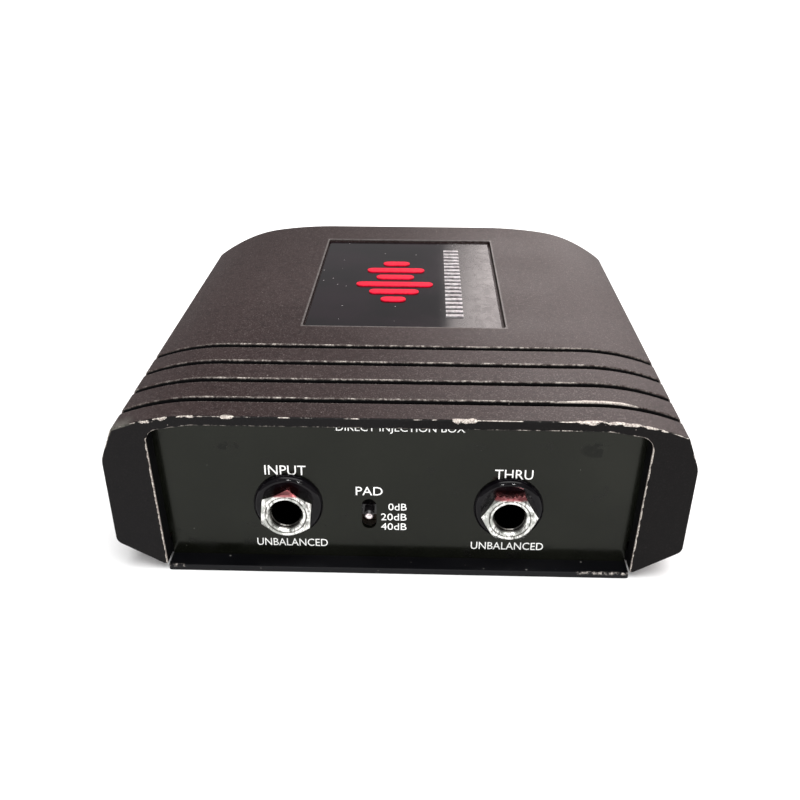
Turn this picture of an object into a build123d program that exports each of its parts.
from build123d import *
import math
import os

# A passive direct injection box. Millimetres, +Z up, the front looks along -Y.
# The origin is the middle of the footprint, at the bottom of the base plate.

# Overall size
WIDTH = 127.0
LENGTH = 143.5
HEIGHT = 39.25
FRONT = -LENGTH / 2
BACK = LENGTH / 2

# Right half of the cover's cross-section, as X and Z
FLAT_HALF = 42.0
UPPER_CORNER = (60.7, 35.7)
WIDEST_CORNER = (WIDTH / 2, 28.2)
LOWER_CORNER = (62.8, 7.3)
CHEEK_TIP = (52.7, 1.6)
BACK_CORNER_R = 38.0
WALL = 2.8
EDGE_ROUND = 0.25

# Grooves across the top of the cover
GROOVE_COUNT = 4
GROOVE_FIRST = 8.3
GROOVE_PITCH = 9.87
GROOVE_WIDTH = 2.3
GROOVE_DEPTH = 1.4

# Badge recess on top, and what lies in it
BADGE_X = 52.1
BADGE_Y = 75.8
BADGE_FRONT = 51.4
BADGE_DEPTH = 1.3
BADGE_THICK = 0.6
BADGE_GAP_SMALL = 0.35
BADGE_GAP_LARGE = 0.8
MARK_THICK = 0.35
BAR_LENGTHS = (7.0, 14.0, 22.0, 11.0, 17.0, 8.0)
BAR_WIDTH = 3.4
BAR_PITCH = 6.2
BAR_X = -3.5
BAR_MIDDLE = 88.5
TICK_COUNT = 19
TICK_LENGTH = 4.6
TICK_WIDTH = 1.5
TICK_PITCH = 3.1
TICK_X = 13.2
TICK_MIDDLE = 88.8

# Openings at the two ends
LIP = 2.3
RECESS = 4.6
REAR_RECESS = 10.0
OPENING_BOTTOM_HALF = 51.7
OPENING_TOP_HALF = 53.5
OPENING_CORNER_R = 3.0
REAR_OPENING_HALF = 40.0

# Sheet metal
BASE_THICK = 1.4
BASE_HALF = 51.75
BASE_CORNER_R = 0.7
PANEL_THICK = 1.2
PANEL_GAP = 0.35
FLANGE_DEPTH = 9.0
FLANGE_HALF = 36.0

# Quarter-inch jacks
JACK_X = 24.5
JACK_Z = 15.15
JACK_BORE_R = 3.3
BUSHING_R = 4.5
WASHER_R = 7.75
WASHER_THICK = 1.5
WASHER_DOME = 1.35
NUT_FLATS = 10.8
NUT_THICK = 3.2
NUT_LIP = 1.0
NUT_HOLE_R = 3.4
NUT_EASE = 0.5
NUT_BEVEL_ANGLE = 32.0
HOUSING_X = 15.6
HOUSING_Y = 25.0
HOUSING_Z = 13.2
HOUSING_WALL = 1.6
HOUSING_NOSE = 2.8
JACK_TURN = {"input": 25.0, "thru": 0.0}
JACK_FIT = 0.06

# Slide switches
PAD_X = -6.5
SWITCH_Z = 12.95
PAD_TRAVEL = 2.4
LIFT_X = 24.0
LIFT_TRAVEL = 1.5
SLOT_R = 1.65
KNOB_R = 1.15
KNOB_PROUD = 0.9
SWITCH_X = 6.6
SWITCH_DEPTH = 5.2
SWITCH_SKIN = 0.4
CARRIAGE_Z = 2.6
SWITCH_PLAY = 0.25
TERMINAL_THICK = 0.8
TERMINAL_X = (-2.0, 0.0, 2.0)
TERMINAL_HALF = 0.3

# Circuit board
BOARD_Z = 6.95
BOARD_THICK = 1.6
BOARD_HALF = 38.0
BOARD_FRONT = 6.6
BOARD_BACK = 129.0
STANDOFF_X = 34.0
STANDOFF_Y = (43.0, 116.0)
STANDOFF_R = 2.5
RESISTOR_X = (-24.0, -16.0, -8.0, 0.0, 8.0)
RESISTOR_Y = FRONT + 52.0
RESISTOR_SPAN = 10.0
CAPACITOR_X = (14.0, 22.0)
CAPACITOR_Y = FRONT + 103.0
CAPACITOR_SPAN = 5.0
LEAD_R = 0.3
LEAD_HOLE_R = 0.6

# XLR output connector
XLR_X = -14.0
XLR_Z = 20.5
XLR_FLANGE_X = 26.0
XLR_FLANGE_Z = 31.0
XLR_FLANGE_THICK = 1.5
XLR_BARREL_R = 11.6
XLR_BORE_R = 9.6
XLR_DEPTH = 22.0
XLR_INSERT_THICK = 6.0
XLR_PIN_R = 1.2
XLR_PIN_CIRCLE_R = 3.75
XLR_PIN_LENGTH = 11.0
XLR_SCREW_X = 9.5
XLR_SCREW_Z = 12.0
XLR_TAIL = 4.0
XLR_CUP_R = 0.75
XLR_PIN_ANGLES = (30.0, 150.0, 270.0)

# Transformer
CORE_X = 28.0
CORE_Y = 10.0
CORE_Z = 24.0
CORE_LEG = 4.0
TRANSFORMER_Y = 76.0
BOBBIN_WALL = 0.7
STRAP_THICK = 0.8
STRAP_FOOT = 7.0

# Screws
COVER_SCREW_X = 46.0
COVER_SCREW_Y = (23.0, 118.0)
COVER_BOSS_R = 3.6
PANEL_SCREW_X = 32.0
M3_R = 1.5
M3_CLEAR_R = 1.65
M3_HEAD_R = 2.75
M3_PILOT_R = 1.55
M25_R = 1.25
M25_HEAD_R = 2.3
M25_HEAD_HEIGHT = 1.5

# Heights and depths that follow from the sizes above
BOARD_TOP = BOARD_Z + BOARD_THICK
LEAD_END = BOARD_Z - 1.1
PANEL_FACE = FRONT + RECESS
PANEL_REAR = PANEL_FACE + PANEL_THICK
REAR_FACE = BACK - REAR_RECESS
WASHER_FACE = PANEL_FACE - WASHER_THICK
NUT_FACE = WASHER_FACE - NUT_THICK
BUSHING_FACE = NUT_FACE + NUT_LIP + 0.05
CHAMBER_FACE = PANEL_REAR + HOUSING_NOSE
TAIL_Y = PANEL_REAR + HOUSING_Y - HOUSING_WALL - 3.0


# Helpers

def outline(points):
    """Face with straight sides through the points."""
    return make_face(Polyline(*points, close=True))


def prism(face, low_y, high_y):
    """Solid of a face drawn in X and Z, between two values of Y."""
    plane = Plane.XZ.offset(-high_y)
    return extrude(plane * face, amount=high_y - low_y)


def slab(face, low_z, high_z):
    """Solid of a face drawn in X and Y, between two values of Z."""
    return extrude(Pos(0, 0, low_z) * face, amount=high_z - low_z)


def block(x, y, z):
    """Box between pairs of low and high values."""
    size = [pair[1] - pair[0] for pair in (x, y, z)]
    low = (x[0], y[0], z[0])
    return Pos(*low) * Box(*size, align=(Align.MIN, Align.MIN, Align.MIN))


def rod_y(radius, x, z, low_y, high_y):
    """Round bar along Y."""
    return prism(Pos(x, z) * Circle(radius), low_y, high_y)


def turned(points, x, z):
    """Body of revolution about a line along Y, from points of radius and Y."""
    return Pos(x, 0, z) * revolve(outline(points), Axis.Y)


def rod_z(radius, x, y, low_z, high_z):
    """Round bar along Z."""
    return slab(Pos(x, y) * Circle(radius), low_z, high_z)


def obround(half_length, radius):
    """Upright slot shape whose ends are half circles."""
    straight = 2 * (half_length - radius)
    ends = [Pos(0, side * straight / 2) * Circle(radius) for side in (-1, 1)]
    return Rectangle(2 * radius, straight) + ends[0] + ends[1]


def save(name, shape):
    """Write one sub-part."""
    export_step(shape, f"parts/{name}.step")


def save_group(name, pieces):
    """Write several separate solids as one sub-part."""
    save(name, Compound(children=[piece.solid() for piece in pieces]))


# Cover

def cover_section():
    """Cross-section of the cover's outside: flat top, arched shoulders, chamfered bottom corners."""
    top_left = (-FLAT_HALF, HEIGHT)
    top_right = (FLAT_HALF, HEIGHT)
    right_shoulder = TangentArc(top_right, UPPER_CORNER, tangent=(1, 0))
    left_shoulder = mirror(right_shoulder, Plane.YZ)
    right_side = Polyline(UPPER_CORNER, WIDEST_CORNER, LOWER_CORNER, CHEEK_TIP)
    left_side = mirror(right_side, Plane.YZ)
    bottom = Line((-CHEEK_TIP[0], CHEEK_TIP[1]), CHEEK_TIP)
    edges = [Line(top_left, top_right), right_shoulder, left_shoulder, right_side, left_side, bottom]
    return make_face(Curve() + edges)


def rounded_section(section):
    """The section with its upper, widest and lower corners eased."""
    for corner, radius in ((UPPER_CORNER, 1.2), (WIDEST_CORNER, 6.0), (LOWER_CORNER, 2.0)):
        picked = [v for v in section.vertices() if math.dist((abs(v.X), v.Y), corner) < 0.01]
        section = fillet(picked, radius)
    return section


def plan_shape(inset):
    """Footprint of the cover, with the two back corners rounded, drawn in by an inset."""
    half = WIDTH / 2 - inset
    back = BACK - inset
    radius = BACK_CORNER_R - inset
    shape = outline([(-half, FRONT - 1), (half, FRONT - 1), (half, back), (-half, back)])
    return fillet(shape.vertices().group_by(Axis.Y)[-1], radius)


def front_opening():
    """Outline of the front opening: its top runs under the shoulders."""
    top = HEIGHT - LIP
    slope_z = top - 1.6
    points = [(OPENING_BOTTOM_HALF, -1), (OPENING_TOP_HALF, slope_z), (FLAT_HALF + 2, top)]
    mirrored = [(-x, z) for x, z in reversed(points)]
    shape = outline(points + mirrored)
    corners = [v for v in shape.vertices() if abs(v.Y - slope_z) < 0.01]
    shape = fillet(corners, OPENING_CORNER_R)
    bends = [v for v in shape.vertices() if abs(abs(v.X) - FLAT_HALF - 2) < 0.01]
    return fillet(bends, 20.0)


def rear_opening():
    """Outline of the rear opening."""
    top = HEIGHT - LIP
    half = REAR_OPENING_HALF
    shape = outline([(-half, -1), (half, -1), (half, top), (-half, top)])
    return fillet(shape.vertices().group_by(Axis.Y)[-1], OPENING_CORNER_R)


def groove_rings(section):
    """Solids that cut the grooves: a thin frame round the section, above the widest line."""
    inner = offset(section, -GROOVE_DEPTH, kind=Kind.INTERSECTION)
    outer = offset(section, 2.0, kind=Kind.INTERSECTION)
    above = Pos(0, WIDEST_CORNER[1] + 20) * Rectangle(WIDTH + 10, 40)
    frame = (outer - inner) & above
    rings = []
    for index in range(GROOVE_COUNT):
        middle = FRONT + GROOVE_FIRST + index * GROOVE_PITCH
        rings.append(prism(frame, middle - GROOVE_WIDTH / 2, middle + GROOVE_WIDTH / 2))
    return rings


def cover_cavity(section):
    """Space inside the cover behind the front frame, open at the bottom."""
    low_y = PANEL_FACE
    inner = offset(section, -WALL, kind=Kind.INTERSECTION)
    room = prism(inner, low_y, REAR_FACE)
    room = room & slab(plan_shape(WALL), 0, HEIGHT)
    half = OPENING_BOTTOM_HALF
    way_down = block((-half, half), (low_y, REAR_FACE), (0, 10))
    return room + (way_down & slab(plan_shape(WALL), 0, HEIGHT))


def screw_bosses(roof_z):
    """Posts under the roof that the cover screws go into, with their pilot holes."""
    posts = []
    for side in (-1, 1):
        for along in COVER_SCREW_Y:
            x = side * COVER_SCREW_X
            y = FRONT + along
            post = rod_z(COVER_BOSS_R, x, y, BASE_THICK, roof_z)
            posts.append(post - rod_z(M3_PILOT_R, x, y, BASE_THICK - 1, BASE_THICK + 12))
    return posts


def badge_recess():
    """Pocket in the roof for the badge plate."""
    low_y = FRONT + BADGE_FRONT
    shape = Pos(0, low_y + BADGE_Y / 2) * RectangleRounded(BADGE_X, BADGE_Y, 1.0)
    return slab(shape, HEIGHT - BADGE_DEPTH, HEIGHT + 1)


def on_outline(edge, section):
    """True if an edge that lies in a plane across Y follows the section's outline."""
    middle = edge @ 0.5
    if max(abs((edge @ end).Y - middle.Y) for end in (0, 1)) > 0.001:
        return False
    return Vertex(middle.X, middle.Z, 0).distance_to(section.face().outer_wire()) < 0.01


def cut_grooves(body, section):
    """Cut the grooves and round their mouths."""
    for ring in groove_rings(section):
        body = body - ring
    low_y = FRONT + GROOVE_FIRST - GROOVE_WIDTH
    high_y = FRONT + GROOVE_FIRST + GROOVE_COUNT * GROOVE_PITCH
    near = [edge for edge in body.edges() if low_y < edge.center().Y < high_y]
    return fillet([edge for edge in near if on_outline(edge, section)], EDGE_ROUND)


def cut_front_opening(body):
    """Cut the front opening and round its front edge."""
    shape = front_opening()
    body = body - prism(shape, FRONT - 1, PANEL_FACE + 0.01)
    edges = body.faces().sort_by(Axis.Y)[0].edges()
    upper = [edge for edge in edges if edge.center().Z > CHEEK_TIP[1] + 0.1]
    return fillet([edge for edge in upper if on_outline(edge, shape)], EDGE_ROUND)


def plan_block():
    """Footprint carried up to the roof, with its top edge rounded."""
    footprint = slab(plan_shape(0), -1, HEIGHT)
    top_edges = footprint.edges().group_by(Axis.Z)[-1]
    return fillet(top_edges.filter_by(lambda edge: edge.center().Y > FRONT), 1.0)


def make_cover():
    section = rounded_section(cover_section())
    body = prism(section, FRONT, BACK) & plan_block()
    body = fillet(body.faces().sort_by(Axis.Y)[0].edges(), 0.35)
    body = cut_grooves(body, section)
    body = cut_front_opening(body)
    body = body - cover_cavity(section)
    body = body - prism(rear_opening(), REAR_FACE - 0.01, BACK + 1)
    body = body - badge_recess()
    for boss in screw_bosses(HEIGHT - WALL + 0.5):
        body = body + boss
    return body


# Sheet metal

def countersink(x, y):
    """Countersunk clearance hole through the base plate."""
    depth = M3_HEAD_R - M3_CLEAR_R
    cone = Pos(x, y, depth / 2) * Cone(M3_HEAD_R, M3_CLEAR_R, depth)
    return cone + rod_z(M3_CLEAR_R, x, y, 0, BASE_THICK + 1)


def cover_screw_places():
    """X and Y of the four screws that hold the cover on the base plate."""
    return [(side * COVER_SCREW_X, FRONT + along) for side in (-1, 1) for along in COVER_SCREW_Y]


def panel_screw_places():
    """X and Y of the screws that hold the two panels' flanges on the base plate."""
    front_y = PANEL_FACE + PANEL_THICK + FLANGE_DEPTH / 2
    rear_y = REAR_FACE - PANEL_THICK - FLANGE_DEPTH / 2
    x = PANEL_SCREW_X
    return [(x, front_y), (-x, front_y), (x, rear_y), (-x, rear_y)]


def make_base_plate():
    half = BASE_HALF
    shape = outline([(-half, FRONT), (half, FRONT), (half, BACK), (-half, BACK)])
    shape = shape & plan_shape(0.4)
    shape = fillet(shape.vertices().group_by(Axis.Y)[0], BASE_CORNER_R)
    sides = [v for v in shape.vertices() if abs(v.X) > half - 0.01 and v.Y > 0]
    shape = fillet(sides, 3.0)
    plate = slab(shape, 0, BASE_THICK)
    plate = fillet(plate.edges().group_by(Axis.Z)[-1], 0.3)
    for x, y in cover_screw_places() + panel_screw_places():
        plate = plate - countersink(x, y)
    return plate


def panel_flange(low_y, high_y):
    """Bottom flange of a panel, with two tapped holes."""
    top = BASE_THICK + PANEL_THICK
    flange = block((-FLANGE_HALF, FLANGE_HALF), (low_y, high_y), (BASE_THICK, top))
    middle = (low_y + high_y) / 2
    for x in (-PANEL_SCREW_X, PANEL_SCREW_X):
        flange = flange - rod_z(M3_PILOT_R, x, middle, 0, top + 1)
    return flange


def make_front_panel():
    step_z = 6.8
    top = HEIGHT - WALL - PANEL_GAP
    narrow = OPENING_BOTTOM_HALF - 0.15
    wide = OPENING_TOP_HALF + 1.2
    right = [
        (narrow, BASE_THICK),
        (narrow, step_z),
        (wide, step_z),
        (wide, top - 3.0),
        (FLAT_HALF, top),
    ]
    left = [(-x, z) for x, z in reversed(right)]
    panel = prism(outline(right + left), PANEL_FACE, PANEL_FACE + PANEL_THICK)
    low_y = PANEL_FACE + PANEL_THICK
    panel = panel + panel_flange(low_y, low_y + FLANGE_DEPTH)
    for side in (-1, 1):
        panel = panel - rod_y(BUSHING_R + 0.1, side * JACK_X, JACK_Z, PANEL_FACE - 1, low_y + 1)
    slot = Pos(PAD_X, SWITCH_Z) * slot_shape(PAD_TRAVEL)
    return panel - prism(slot, PANEL_FACE - 1, low_y + 1)


def make_rear_panel():
    half = REAR_OPENING_HALF + 4
    top = HEIGHT - WALL - PANEL_GAP
    low_y = REAR_FACE - PANEL_THICK
    panel = block((-half, half), (low_y, REAR_FACE), (BASE_THICK, top))
    panel = panel + panel_flange(low_y - FLANGE_DEPTH, low_y)
    panel = panel - rod_y(XLR_BARREL_R + 0.2, XLR_X, XLR_Z, low_y - 1, REAR_FACE + 1)
    for x, z in xlr_screw_places():
        panel = panel - rod_y(M25_R, x, z, low_y - 1, REAR_FACE + 1)
    slot = Pos(LIFT_X, SWITCH_Z) * slot_shape(LIFT_TRAVEL)
    return panel - prism(slot, low_y - 1, REAR_FACE + 1)


def make_base_screw(x, y, top_z):
    """Countersunk cross-head screw that comes up through the base plate."""
    depth = M3_HEAD_R - M3_CLEAR_R
    head = Pos(x, y, depth / 2) * Cone(M3_HEAD_R - 0.05, M3_CLEAR_R - 0.05, depth)
    shank = rod_z(M3_R, x, y, 0, top_z)
    cross = Box(2.6, 0.6, 1.0) + Box(0.6, 2.6, 1.0)
    return head + shank - Pos(x, y, 0.3) * cross


# Badge

def make_badge_plate():
    left = -BADGE_X / 2 + BADGE_GAP_SMALL
    right = BADGE_X / 2 - BADGE_GAP_LARGE
    front = FRONT + BADGE_FRONT + BADGE_GAP_SMALL
    back = FRONT + BADGE_FRONT + BADGE_Y - BADGE_GAP_LARGE
    low_z = HEIGHT - BADGE_DEPTH
    plate = block((left, right), (front, back), (low_z, low_z + BADGE_THICK))
    plate = fillet(plate.edges().filter_by(Axis.Z), 0.8)
    return fillet(plate.edges().group_by(Axis.Z)[-1], 0.15)


def make_badge_bars():
    """Raised emblem: a row of rounded level bars of different lengths."""
    low_z = HEIGHT - BADGE_DEPTH + BADGE_THICK
    first_y = FRONT + BAR_MIDDLE - BAR_PITCH * (len(BAR_LENGTHS) - 1) / 2
    bars = []
    for index, length in enumerate(BAR_LENGTHS):
        shape = Pos(BAR_X, first_y + index * BAR_PITCH) * SlotOverall(length, BAR_WIDTH)
        bar = slab(shape, low_z, low_z + MARK_THICK)
        bars.append(fillet(bar.edges().group_by(Axis.Z)[-1], 0.12))
    return bars


def make_badge_ticks():
    """Raised scale beside the emblem: a column of equal short ticks."""
    low_z = HEIGHT - BADGE_DEPTH + BADGE_THICK
    first_y = FRONT + TICK_MIDDLE - TICK_PITCH * (TICK_COUNT - 1) / 2
    ticks = []
    for index in range(TICK_COUNT):
        shape = Pos(TICK_X, first_y + index * TICK_PITCH) * Rectangle(TICK_LENGTH, TICK_WIDTH)
        ticks.append(slab(shape, low_z, low_z + MARK_THICK))
    return ticks


# Jacks

def make_jack_washer(x):
    """Domed black washer between panel and nut."""
    disc = rod_y(WASHER_R, x, JACK_Z, WASHER_FACE, PANEL_FACE)
    front_rim = disc.faces().sort_by(Axis.Y)[0].edges()
    disc = fillet(front_rim, WASHER_DOME)
    return disc - rod_y(BUSHING_R + JACK_FIT, x, JACK_Z, WASHER_FACE - 1, PANEL_FACE + 1)


def make_jack_nut(x, turn):
    """Hexagon cap nut: its front is bevelled outside and closes in to the plug hole."""
    hexagon = RegularPolygon(NUT_FLATS / 2, 6, major_radius=False, rotation=turn)
    body = prism(Pos(x, JACK_Z) * hexagon, NUT_FACE, WASHER_FACE)
    corner_r = NUT_FLATS / math.sqrt(3)
    face_r = NUT_FLATS / 2 - 0.2
    bevel = (corner_r - face_r) * math.tan(math.radians(NUT_BEVEL_ANGLE))
    blank = [
        (NUT_HOLE_R + NUT_EASE, NUT_FACE),
        (face_r, NUT_FACE),
        (corner_r, NUT_FACE + bevel),
        (corner_r, WASHER_FACE),
        (BUSHING_R + JACK_FIT, WASHER_FACE),
        (BUSHING_R + JACK_FIT, NUT_FACE + NUT_LIP),
        (NUT_HOLE_R, NUT_FACE + NUT_LIP),
        (NUT_HOLE_R, NUT_FACE + NUT_EASE),
    ]
    return body & turned(blank, x, JACK_Z)


def make_jack_bushing(x):
    """Metal sleeve that the plug goes into; it is also the sleeve contact."""
    ease = 0.3
    wall = [
        (JACK_BORE_R, CHAMBER_FACE),
        (JACK_BORE_R, BUSHING_FACE + ease),
        (JACK_BORE_R + ease, BUSHING_FACE),
        (BUSHING_R - ease, BUSHING_FACE),
        (BUSHING_R, BUSHING_FACE + ease),
        (BUSHING_R, CHAMBER_FACE),
    ]
    tube = turned(wall, x, JACK_Z)
    lug_z = (LEAD_END, JACK_Z - JACK_BORE_R - 0.5)
    return tube + block((x - 1.2, x + 1.2), (CHAMBER_FACE - 0.8, CHAMBER_FACE), lug_z)


def make_jack_housing(x):
    """Moulded box behind the panel, hollow for the contacts."""
    half_x = HOUSING_X / 2
    low_z = BOARD_TOP
    high_z = low_z + HOUSING_Z
    rear = PANEL_REAR + HOUSING_Y
    body = block((x - half_x, x + half_x), (PANEL_REAR, rear), (low_z, high_z))
    body = fillet(body.edges().filter_by(Axis.Y), 0.8)
    wall = HOUSING_WALL
    chamber_x = (x - half_x + wall, x + half_x - wall)
    body = body - block(chamber_x, (CHAMBER_FACE, rear - wall), (low_z + wall, high_z - wall))
    body = body - rod_y(BUSHING_R + JACK_FIT, x, JACK_Z, PANEL_REAR - 1, CHAMBER_FACE + 0.5)
    lug_y = (CHAMBER_FACE - 0.9, CHAMBER_FACE + 0.5)
    body = body - block((x - 1.3, x + 1.3), lug_y, (low_z - 1, JACK_Z))
    tail_z = (low_z - 1, low_z + wall + 1)
    return body - block((x - 1.0, x + 1.0), (TAIL_Y - 0.3, TAIL_Y + 0.3), tail_z)


def make_tip_spring(x):
    """Leaf contact that presses on the plug's tip, with its tail through the board."""
    width = 1.8
    bend_z = BOARD_TOP + HOUSING_WALL + 0.7
    contact = (TAIL_Y - 7.0, JACK_Z - 2.0)
    route = Polyline((TAIL_Y, LEAD_END), (TAIL_Y, bend_z), contact, (TAIL_Y - 10.0, JACK_Z - 3.6))
    strip = Plane.YZ.offset(x - width / 2) * trace(route, 0.4)
    return extrude(strip, amount=width)


# Slide switches, drawn with the panel's outer face at Y = 0 and the box behind it towards +Y

def switch_half_height(travel):
    """Half the height inside a switch frame."""
    return travel + CARRIAGE_Z / 2 + SWITCH_PLAY


def slot_shape(travel):
    """Slot that the knob slides in."""
    return obround(travel + KNOB_R + 0.3, SLOT_R)


def make_switch_frame(travel):
    """Sheet-metal can behind the panel, with a slot in its front."""
    half_x = SWITCH_X / 2
    half_z = switch_half_height(travel) + SWITCH_SKIN
    back = PANEL_THICK + SWITCH_DEPTH
    can = block((-half_x, half_x), (PANEL_THICK, back), (-half_z, half_z))
    inner_x = half_x - SWITCH_SKIN
    inner_z = half_z - SWITCH_SKIN
    inner_y = (PANEL_THICK + SWITCH_SKIN, back + 1)
    can = can - block((-inner_x, inner_x), inner_y, (-inner_z, inner_z))
    return can - prism(slot_shape(travel), PANEL_THICK - 1, PANEL_THICK + 1)


def make_switch_terminals(travel):
    """Board that closes the can's back, with three pins bent down through the circuit board."""
    inner_x = SWITCH_X / 2 - SWITCH_SKIN
    inner_z = switch_half_height(travel)
    back = PANEL_THICK + SWITCH_DEPTH
    plate = block((-inner_x, inner_x), (back - TERMINAL_THICK, back), (-inner_z, inner_z))
    half = TERMINAL_HALF
    for x in TERMINAL_X:
        plate = plate + block((x - half, x + half), (back - 0.2, back + 1.2), (-half, half))
        leg_z = (LEAD_END - SWITCH_Z, half)
        plate = plate + block((x - half, x + half), (back + 0.6, back + 1.2), leg_z)
    return plate


def make_switch_slider():
    """Knob and the carriage behind it, in one moulding, at mid travel."""
    half_x = SWITCH_X / 2 - SWITCH_SKIN - 0.3
    low_y = PANEL_THICK + SWITCH_SKIN + 0.3
    high_y = PANEL_THICK + SWITCH_DEPTH - TERMINAL_THICK - 0.3
    carriage = block((-half_x, half_x), (low_y, high_y), (-CARRIAGE_Z / 2, CARRIAGE_Z / 2))
    dome = 0.5
    knob = [
        (0, -KNOB_PROUD),
        (KNOB_R - dome, -KNOB_PROUD),
        (KNOB_R, -KNOB_PROUD + dome),
        (KNOB_R, low_y + 0.5),
        (0, low_y + 0.5),
    ]
    return carriage + turned(knob, 0, 0)


def pad_place():
    """Where the pad switch sits, behind the front panel."""
    return Pos(PAD_X, PANEL_FACE, SWITCH_Z)


def lift_place():
    """Where the ground lift switch sits, turned to face the back."""
    return Pos(LIFT_X, REAR_FACE, SWITCH_Z) * Rot(0, 0, 180)


# XLR connector

def xlr_screw_places():
    """X and Z of the two screws of the connector's flange."""
    return [(XLR_X + side * XLR_SCREW_X, XLR_Z - side * XLR_SCREW_Z) for side in (-1, 1)]


def xlr_pin_places():
    """X and Z of the three contacts."""
    places = []
    for angle in XLR_PIN_ANGLES:
        across = XLR_PIN_CIRCLE_R * math.cos(math.radians(angle))
        up = XLR_PIN_CIRCLE_R * math.sin(math.radians(angle))
        places.append((XLR_X + across, XLR_Z + up))
    return places


def make_xlr_shell():
    """Flange outside the rear panel and the barrel behind it."""
    face = REAR_FACE + XLR_FLANGE_THICK
    flange_shape = Pos(XLR_X, XLR_Z) * RectangleRounded(XLR_FLANGE_X, XLR_FLANGE_Z, 3.0)
    flange = prism(flange_shape, REAR_FACE, face)
    flange = fillet(flange.faces().sort_by(Axis.Y)[-1].edges(), 0.4)
    barrel = rod_y(XLR_BARREL_R, XLR_X, XLR_Z, REAR_FACE - XLR_DEPTH, REAR_FACE)
    shell = flange + barrel
    shell = shell - rod_y(XLR_BORE_R, XLR_X, XLR_Z, REAR_FACE - XLR_DEPTH - 1, face + 1)
    key_z = (XLR_Z + XLR_BORE_R - 0.7, XLR_Z + XLR_BORE_R + 0.9)
    shell = shell + block((XLR_X - 1.0, XLR_X + 1.0), (REAR_FACE - 12.0, REAR_FACE), key_z)
    for x, z in xlr_screw_places():
        shell = shell - rod_y(M25_R + 0.2, x, z, REAR_FACE - 1, face + 1)
    return shell


def make_xlr_insert():
    """Moulded disc that holds the contacts at the bottom of the barrel."""
    low_y = REAR_FACE - XLR_DEPTH
    disc = rod_y(XLR_BORE_R - 0.05, XLR_X, XLR_Z, low_y, low_y + XLR_INSERT_THICK)
    for x, z in xlr_pin_places():
        disc = disc - rod_y(XLR_PIN_R + 0.05, x, z, low_y - 1, low_y + XLR_INSERT_THICK + 1)
    return disc


def make_xlr_pin(x, z):
    """Contact with a rounded tip outside and a solder cup inside."""
    low_y = REAR_FACE - XLR_DEPTH - XLR_TAIL
    tip_y = REAR_FACE - XLR_DEPTH + XLR_INSERT_THICK + XLR_PIN_LENGTH
    nose = 0.7
    body = [
        (0, low_y),
        (XLR_PIN_R, low_y),
        (XLR_PIN_R, tip_y - nose),
        (XLR_PIN_R - nose, tip_y),
        (0, tip_y),
    ]
    return turned(body, x, z) - rod_y(XLR_CUP_R, x, z, low_y - 1, low_y + 2.5)


def make_xlr_screw(x, z):
    """Pan-head screw through the flange into the rear panel."""
    seat = REAR_FACE + XLR_FLANGE_THICK
    head = rod_y(M25_HEAD_R, x, z, seat, seat + M25_HEAD_HEIGHT)
    head = fillet(head.faces().sort_by(Axis.Y)[-1].edges(), 0.6)
    cross = Box(2.4, 1.4, 0.5) + Box(0.5, 1.4, 2.4)
    head = head - Pos(x, seat + M25_HEAD_HEIGHT, z) * cross
    return head + rod_y(M25_R - 0.05, x, z, REAR_FACE - PANEL_THICK - 2, seat)


def make_output_lead(x, z):
    """Insulated wire from a solder cup down to the circuit board."""
    start_y = REAR_FACE - XLR_DEPTH - XLR_TAIL - 0.1
    turn_y = start_y - 7.0
    path = FilletPolyline((x, start_y, z), (x, turn_y, z), (x, turn_y, BOARD_TOP), radius=3.0)
    section = Plane(origin=(x, start_y, z), z_dir=(0, -1, 0)) * Circle(0.65)
    return sweep(section, path=path)


# Circuit board and its parts

def standoff_places():
    """X and Y of the four standoffs."""
    return [(side * STANDOFF_X, FRONT + along) for side in (-1, 1) for along in STANDOFF_Y]


def make_standoff(x, y):
    """Round spacer on the base plate, tapped from above."""
    post = rod_z(STANDOFF_R, x, y, BASE_THICK, BOARD_Z)
    return post - rod_z(M25_R + 0.05, x, y, BASE_THICK, BOARD_Z + 1)


def pan_head(x, y, seat):
    """Round screw head that stands on the level of its seat."""
    head = rod_z(M25_HEAD_R, x, y, seat, seat + M25_HEAD_HEIGHT)
    return fillet(head.edges().group_by(Axis.Z)[-1], 0.6)


def make_board_screw(x, y):
    """Cross-head screw that holds the board on a standoff."""
    cross = Box(2.4, 0.5, 1.4) + Box(0.5, 2.4, 1.4)
    head = pan_head(x, y, BOARD_TOP) - Pos(x, y, BOARD_TOP + M25_HEAD_HEIGHT) * cross
    return head + rod_z(M25_R, x, y, BASE_THICK + 0.3, BOARD_TOP)


def make_resistor(x):
    """Small axial resistor lying along Y, its wires bent down through the board."""
    body_z = BOARD_TOP + 1.6
    half = RESISTOR_SPAN / 2
    half_shape = [(0, 3.2), (1.15, 3.2), (1.25, 2.2), (1.0, 1.4)]
    mirrored = [(radius, -y) for radius, y in reversed(half_shape)]
    body = Pos(0, RESISTOR_Y, 0) * turned(half_shape + mirrored, x, body_z)
    wire = rod_y(LEAD_R, x, body_z, RESISTOR_Y - half, RESISTOR_Y + half)
    for end in (-half, half):
        wire = wire + rod_z(LEAD_R, x, RESISTOR_Y + end, LEAD_END, body_z)
    return body + wire


def make_capacitor(x):
    """Box film capacitor standing on the board."""
    low_z = BOARD_TOP + 0.2
    body = block((x - 1.3, x + 1.3), (CAPACITOR_Y - 3.6, CAPACITOR_Y + 3.6), (low_z, low_z + 6.5))
    body = fillet(body.edges().filter_by(Axis.Z), 0.4)
    for end in (-CAPACITOR_SPAN / 2, CAPACITOR_SPAN / 2):
        body = body + rod_z(LEAD_R, x, CAPACITOR_Y + end, LEAD_END, low_z + 0.5)
    return body


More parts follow.
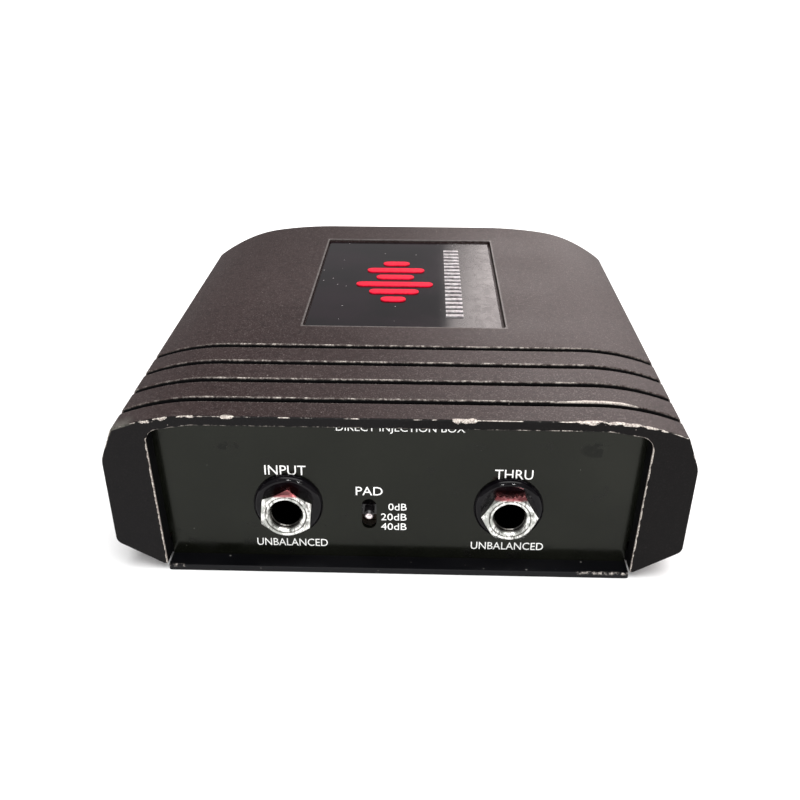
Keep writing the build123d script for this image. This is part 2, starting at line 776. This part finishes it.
def lead_places():
    """X and Y of every round hole for a component's wire."""
    places = []
    for end in (-0.5, 0.5):
        places += [(x, RESISTOR_Y + end * RESISTOR_SPAN) for x in RESISTOR_X]
        places += [(x, CAPACITOR_Y + end * CAPACITOR_SPAN) for x in CAPACITOR_X]
    pin_inset = PANEL_THICK + SWITCH_DEPTH + 0.9
    for x in TERMINAL_X:
        places.append((PAD_X + x, PANEL_FACE + pin_inset))
        places.append((LIFT_X + x, REAR_FACE - pin_inset))
    return places


def make_circuit_board():
    shape = RectangleRounded(2 * BOARD_HALF, BOARD_BACK - BOARD_FRONT, 1.0)
    middle = FRONT + (BOARD_FRONT + BOARD_BACK) / 2
    board = slab(Pos(0, middle) * shape, BOARD_Z, BOARD_TOP)
    for x, y in standoff_places():
        board = board - rod_z(M25_R + 0.1, x, y, BOARD_Z - 1, BOARD_TOP + 1)
    for x, y in lead_places():
        board = board - rod_z(LEAD_HOLE_R, x, y, BOARD_Z - 1, BOARD_TOP + 1)
    through = (BOARD_Z - 1, BOARD_TOP + 1)
    for x in (-JACK_X, JACK_X):
        board = board - block((x - 1.4, x + 1.4), (CHAMBER_FACE - 1.0, CHAMBER_FACE + 0.2), through)
        board = board - block((x - 1.1, x + 1.1), (TAIL_Y - 0.4, TAIL_Y + 0.4), through)
    for x in strap_screw_places():
        board = board - rod_z(M25_R + 0.1, x, FRONT + TRANSFORMER_Y, *through)
    return board


# Transformer

def make_transformer_core():
    """Laminated core: a frame with a middle leg."""
    outer = Pos(0, CORE_Z / 2) * Rectangle(CORE_X, CORE_Z)
    window_x = (CORE_X - 4 * CORE_LEG) / 2
    window = Rectangle(window_x, CORE_Z - 2 * CORE_LEG)
    for side in (-1, 1):
        outer = outer - Pos(side * (CORE_LEG + window_x / 2), CORE_Z / 2) * window
    middle = FRONT + TRANSFORMER_Y
    core = prism(outer, middle - CORE_Y / 2, middle + CORE_Y / 2)
    return Pos(0, 0, BOARD_TOP + 0.05) * core


def bobbin_room():
    """Low and high Z between the core's top and bottom bars."""
    low = BOARD_TOP + 0.05 + CORE_LEG
    return low + 0.1, low + CORE_Z - 2 * CORE_LEG - 0.1


def make_transformer_bobbin():
    """Spool round the middle leg, with a flange at each end."""
    low_z, high_z = bobbin_room()
    middle = FRONT + TRANSFORMER_Y
    leg_x = 2 * CORE_LEG + 0.2
    leg_y = CORE_Y + 0.2
    tube = Rectangle(leg_x + 2 * BOBBIN_WALL, leg_y + 2 * BOBBIN_WALL)
    flange = RectangleRounded(CORE_X - 2 * CORE_LEG - 0.4, CORE_Y + 10.0, 1.0)
    spool = slab(Pos(0, middle) * tube, low_z, high_z)
    for edge in (low_z, high_z - BOBBIN_WALL):
        spool = spool + slab(Pos(0, middle) * flange, edge, edge + BOBBIN_WALL)
    return spool - slab(Pos(0, middle) * Rectangle(leg_x, leg_y), low_z - 1, high_z + 1)


def make_transformer_winding():
    """Wound copper between the bobbin's flanges."""
    low_z, high_z = bobbin_room()
    middle = FRONT + TRANSFORMER_Y
    gap = 0.1
    around = 0.2 + 2 * BOBBIN_WALL + gap
    inner = Rectangle(2 * CORE_LEG + around, CORE_Y + around)
    outer = RectangleRounded(CORE_X - 2 * CORE_LEG - 1.2, CORE_Y + 9.0, 3.0)
    ring = Pos(0, middle) * (outer - inner)
    return slab(ring, low_z + BOBBIN_WALL + gap, high_z - BOBBIN_WALL - gap)


def make_transformer_strap():
    """Bracket over the core, with two feet on the board."""
    middle = FRONT + TRANSFORMER_Y
    top = CORE_Z + 0.1
    inner = CORE_X / 2 + 0.05
    outer = inner + STRAP_THICK
    foot = outer + STRAP_FOOT
    right = [(foot, 0), (foot, STRAP_THICK), (outer, STRAP_THICK), (outer, top + STRAP_THICK)]
    left = [(-x, z) for x, z in reversed(right)]
    inside = [(-inner, 0), (-inner, top), (inner, top), (inner, 0)]
    strap = prism(outline(right + left + inside), middle - 4.0, middle + 4.0)
    strap = Pos(0, 0, BOARD_TOP) * strap
    for x in strap_screw_places():
        strap = strap - rod_z(M25_R + 0.1, x, middle, BOARD_TOP - 1, BOARD_TOP + STRAP_THICK + 1)
    return strap


def strap_screw_places():
    """X of the two screws in the strap's feet."""
    x = CORE_X / 2 + STRAP_THICK + STRAP_FOOT / 2
    return (-x, x)


def make_strap_screw(x):
    """Short screw through a foot and the board, with its nut below."""
    y = FRONT + TRANSFORMER_Y
    seat = BOARD_TOP + STRAP_THICK
    shank = rod_z(M25_R, x, y, BOARD_Z, seat)
    nut = slab(Pos(x, y) * RegularPolygon(2.5, 6), BOARD_Z - 1.6, BOARD_Z)
    return pan_head(x, y, seat) + shank + nut


# Write every sub-part

def main():
    os.makedirs("parts", exist_ok=True)
    save("cover", make_cover())
    save("base_plate", make_base_plate())
    save("front_panel", make_front_panel())
    save("rear_panel", make_rear_panel())
    save("badge_plate", make_badge_plate())
    save_group("badge_mark", make_badge_bars())
    save_group("badge_ticks", make_badge_ticks())
    for name, x in (("input", -JACK_X), ("thru", JACK_X)):
        save(f"{name}_jack_washer", make_jack_washer(x))
        save(f"{name}_jack_nut", make_jack_nut(x, JACK_TURN[name]))
        save(f"{name}_jack_bushing", make_jack_bushing(x))
        save(f"{name}_jack_housing", make_jack_housing(x))
        save(f"{name}_jack_tip_spring", make_tip_spring(x))
    save("pad_switch_frame", pad_place() * make_switch_frame(PAD_TRAVEL))
    save("pad_switch_terminals", pad_place() * make_switch_terminals(PAD_TRAVEL))
    save("pad_switch_slider", pad_place() * make_switch_slider())
    save("lift_switch_frame", lift_place() * make_switch_frame(LIFT_TRAVEL))
    save("lift_switch_terminals", lift_place() * make_switch_terminals(LIFT_TRAVEL))
    save("lift_switch_slider", Pos(0, 0, -LIFT_TRAVEL) * lift_place() * make_switch_slider())
    save("xlr_shell", make_xlr_shell())
    save("xlr_insert", make_xlr_insert())
    save_group("xlr_pins", [make_xlr_pin(x, z) for x, z in xlr_pin_places()])
    save_group("xlr_screws", [make_xlr_screw(x, z) for x, z in xlr_screw_places()])
    save_group("output_leads", [make_output_lead(x, z) for x, z in xlr_pin_places()])
    save("circuit_board", make_circuit_board())
    save_group("board_standoffs", [make_standoff(x, y) for x, y in standoff_places()])
    save_group("board_screws", [make_board_screw(x, y) for x, y in standoff_places()])
    save_group("pad_resistors", [make_resistor(x) for x in RESISTOR_X])
    save_group("ground_capacitors", [make_capacitor(x) for x in CAPACITOR_X])
    save("transformer_core", make_transformer_core())
    save("transformer_bobbin", make_transformer_bobbin())
    save("transformer_winding", make_transformer_winding())
    save("transformer_strap", make_transformer_strap())
    save_group("transformer_screws", [make_strap_screw(x) for x in strap_screw_places()])
    cover_top = BASE_THICK + 9.0
    flange_top = BASE_THICK + PANEL_THICK + 1.0
    save_group("cover_screws", [make_base_screw(x, y, cover_top) for x, y in cover_screw_places()])
    save_group("panel_screws", [make_base_screw(x, y, flange_top) for x, y in panel_screw_places()])


main()
